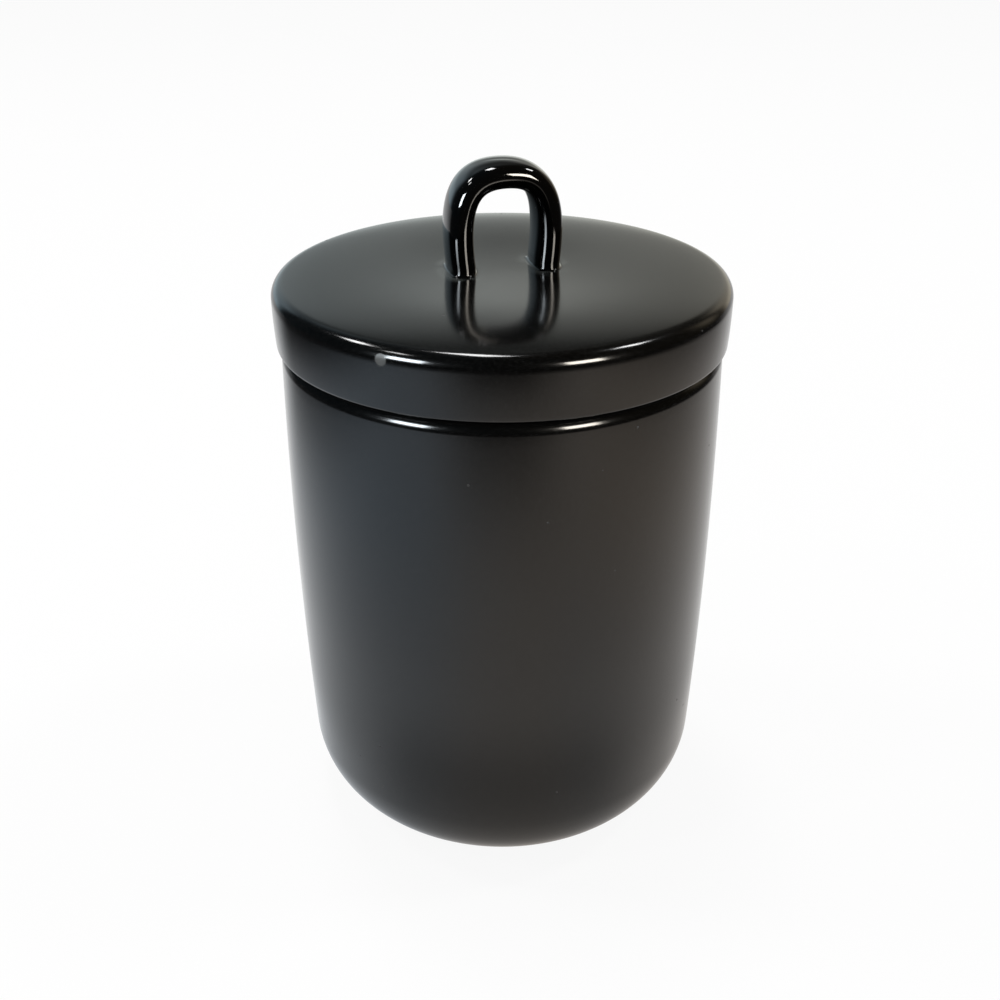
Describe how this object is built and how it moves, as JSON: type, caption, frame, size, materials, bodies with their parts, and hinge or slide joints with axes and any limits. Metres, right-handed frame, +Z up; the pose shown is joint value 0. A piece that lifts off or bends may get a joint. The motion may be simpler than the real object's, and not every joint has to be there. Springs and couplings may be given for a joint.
{
  "type": "lidded canister",
  "caption": "Round black-glazed stoneware canister with a rounded base, a thick lift-off lid that plugs the mouth with a soft seal, and a strap loop handle on top.",
  "frame": {"origin": "centre of the foot ring, on the surface that the jar stands on", "axes": "+Z up along the jar's axis; the handle's loop lies in the XZ plane, so X runs from leg to leg"},
  "size_m": [0.106, 0.106, 0.1682],
  "materials": {
    "jar_glaze": "satin black glaze",
    "lid_glaze": "semi-gloss black glaze",
    "handle_glaze": "gloss black glaze",
    "silicone": "matt dark silicone"
  },
  "bodies": {
    "jar": {"jar_body": "jar_glaze"},
    "seal": {"seal_ring": "silicone"},
    "lid": {"lid": "lid_glaze", "loop_handle": "handle_glaze"}
  },
  "joints": [
    {"name": "lid_lift", "type": "slide", "parent": "jar", "child": "seal", "axis": [0, 0, 1], "range_m": [0, 0.12]},
    {"name": "lid_turn", "type": "hinge", "parent": "seal", "child": "lid", "pos_m": [0, 0, 0.1287], "axis": [0, 0, 1], "continuous": true}
  ]
}
